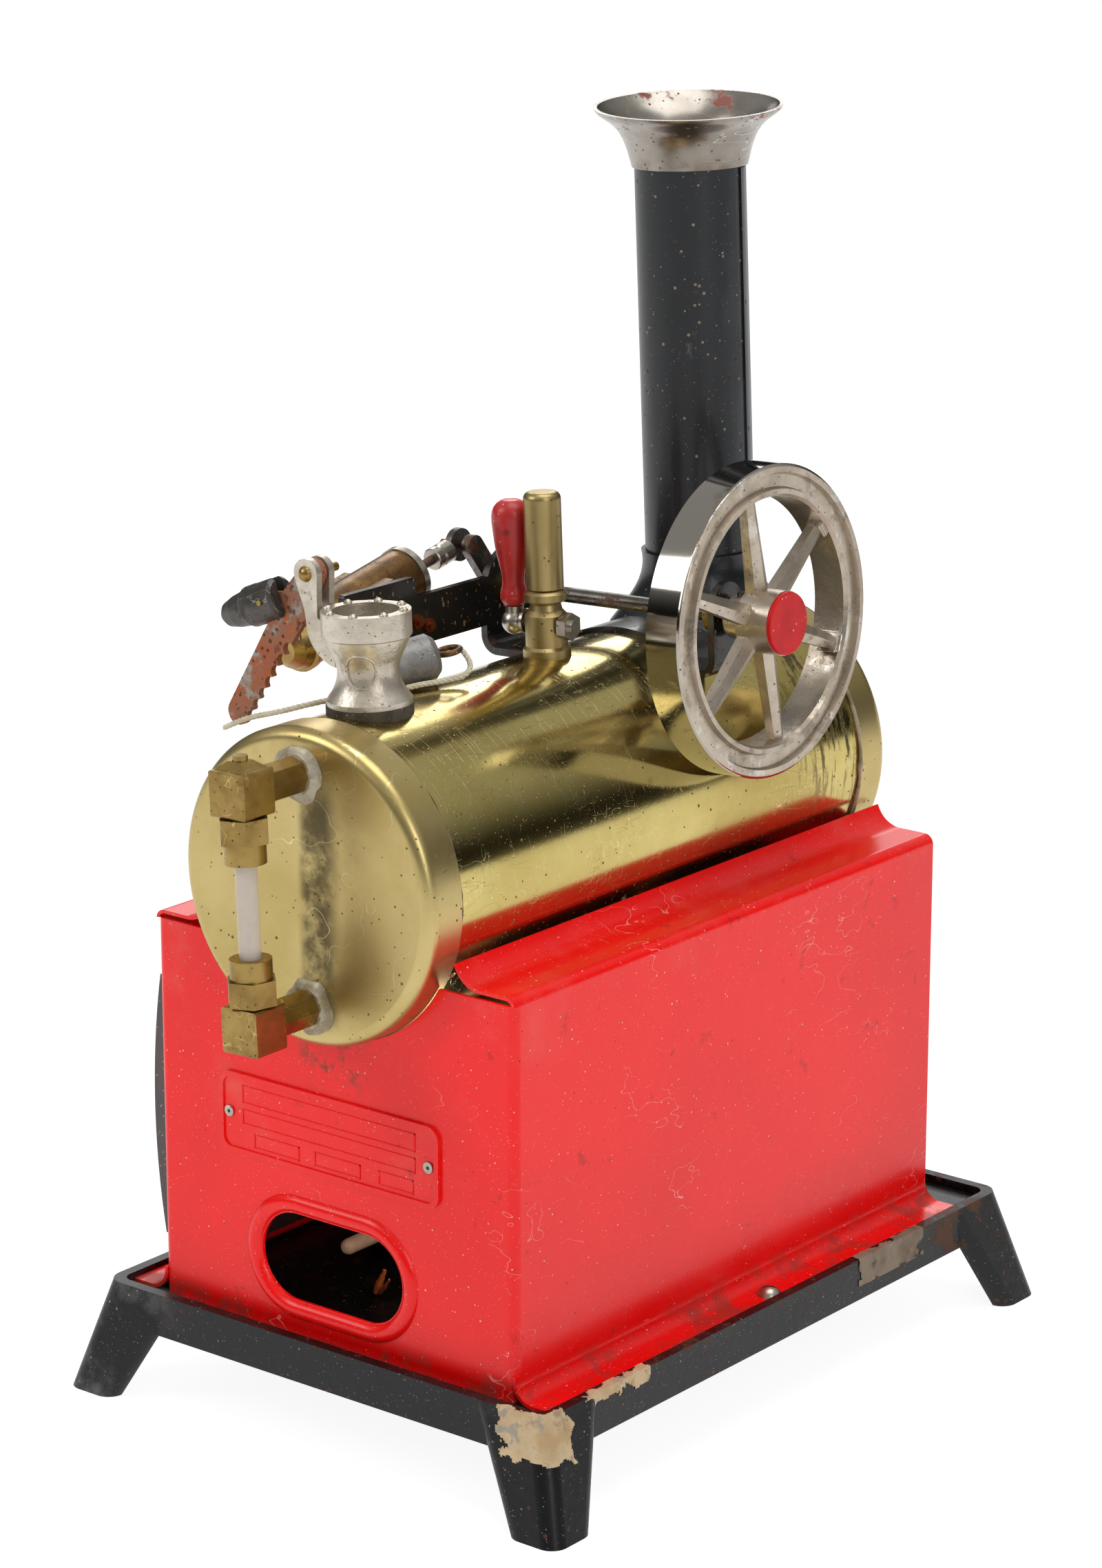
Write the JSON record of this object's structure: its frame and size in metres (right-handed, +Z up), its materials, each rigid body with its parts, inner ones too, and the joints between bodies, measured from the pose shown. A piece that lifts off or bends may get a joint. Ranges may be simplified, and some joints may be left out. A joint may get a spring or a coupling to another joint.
{
  "type": "model steam engine",
  "caption": "Toy stationary steam engine: horizontal brass boiler on a red firebox, black legged base, oscillating engine with flywheel, safety valve, whistle and tall chimney.",
  "frame": {"origin": "on the surface that the feet stand on, under the middle of the bounding box", "axes": "+Z up, -Y towards the front with the water gauge and the stoke hole, +X towards the flywheel"},
  "size_m": [0.1294, 0.1855, 0.2564],
  "materials": {
    "black_enamel_iron": "gloss black enamel, chipped and rusty at the edges",
    "red_enamel": "gloss red baked enamel",
    "nickel_plate": "aged nickel plate",
    "cast_nickel": "nickel plate over a coarse casting",
    "grey_sheet": "dull tinned sheet",
    "ceramic": "unglazed",
    "brass_polished": "polished, brown tarnish in patches",
    "brass_dull": "dull with brown tarnish",
    "clear_glass": "clear, slightly cloudy",
    "seal_rubber": "hardened packing",
    "rusty_steel": "rusted",
    "grey_zinc": "dull grey cast metal",
    "brown_wire": "tarnished wire",
    "cotton_string": "twisted cotton",
    "red_wood": "red lacquer, worn",
    "black_enamel_sheet": "satin black, scratched",
    "brown_japan": "dark brown lacquer",
    "steel": "worn steel",
    "red_paint": "red paint",
    "copper": "copper"
  },
  "bodies": {
    "root": {"base_casting": "black_enamel_iron", "firebox_shell": "red_enamel", "firebox_back": "red_enamel", "flange_screws": "nickel_plate", "nameplate": "red_enamel", "nameplate_rivets": "nickel_plate", "heat_shield": "grey_sheet", "heater_element": "ceramic", "heater_strap": "grey_sheet", "heater_rod": "ceramic", "terminal_block": "ceramic", "terminal_pins": "brass_dull", "terminal_guard": "brown_japan", "boiler_shell": "brass_polished", "boiler_front_cap": "brass_polished", "boiler_rear_cap": "brass_polished", "gauge_elbows": "brass_dull", "gauge_nuts": "brass_dull", "gauge_glass": "clear_glass", "gauge_seals": "seal_rubber", "gauge_drain_plug": "brass_dull", "valve_gasket": "seal_rubber", "valve_body": "nickel_plate", "valve_rim_bolts": "nickel_plate", "valve_pivot_rivet": "brass_dull", "valve_weight": "grey_zinc", "weight_ring": "brown_wire", "weight_string": "cotton_string", "whistle_body": "brass_dull", "whistle_bell": "brass_dull", "stack_saddle": "black_enamel_sheet", "stack_tube": "black_enamel_sheet", "stack_flare": "nickel_plate", "engine_frame": "black_enamel_sheet", "shaft_bearings": "brass_dull", "steam_pipe": "copper", "port_screws": "copper"},
    "crank": {"crankshaft": "steel", "crank_web": "steel", "crank_pin": "rusty_steel", "flywheel": "cast_nickel", "flywheel_cap": "red_paint", "flywheel_set_screw": "nickel_plate"},
    "cylinder": {"cylinder_body": "brass_dull", "cylinder_front_cap": "brass_dull", "cylinder_rear_cap": "nickel_plate", "cylinder_pivot": "steel", "cylinder_spring": "steel", "cylinder_pivot_nut": "nickel_plate"},
    "rod": {"piston": "brass_dull", "piston_rod": "steel", "rod_coupling": "nickel_plate", "rod_eye": "grey_sheet", "rod_pin_tail": "rusty_steel"},
    "lever": {"valve_lever": "rusty_steel"},
    "plug": {"valve_plug": "grey_zinc", "valve_plug_pin": "brass_dull"},
    "whistle_valve": {"whistle_spindle": "nickel_plate", "whistle_handle": "red_wood", "whistle_nut": "nickel_plate"}
  },
  "joints": [
    {"name": "crank_turn", "type": "hinge", "parent": "root", "child": "crank", "pos_m": [-0.00166, 0.0274, 0.15666], "axis": [0.999, 0, 0.0436], "continuous": true},
    {"name": "cylinder_swing", "type": "hinge", "parent": "root", "child": "cylinder", "pos_m": [-0.03772, -0.0151, 0.15739], "axis": [0.999, 0, 0.0436], "range_deg": [-31.24, 1.51]},
    {"name": "piston_slide", "type": "slide", "parent": "cylinder", "child": "rod", "axis": [-0.0089, 0.979, 0.2037], "range_m": [-0.00559, 0.01841]},
    {"name": "valve_lever_pivot", "type": "hinge", "parent": "root", "child": "lever", "pos_m": [-0.01429, -0.0518, 0.17543], "axis": [0, 1, 0], "range_deg": [0, 195]},
    {"name": "valve_plug_swivel", "type": "hinge", "parent": "lever", "child": "plug", "pos_m": [-0.0248, -0.0518, 0.16848], "axis": [0, 1, 0], "range_deg": [0, 20]},
    {"name": "whistle_turn", "type": "hinge", "parent": "root", "child": "whistle_valve", "pos_m": [-0.00164, 0.0043, 0.15636], "axis": [0.999, 0, 0.0436], "range_deg": [0, 90]}
  ]
}
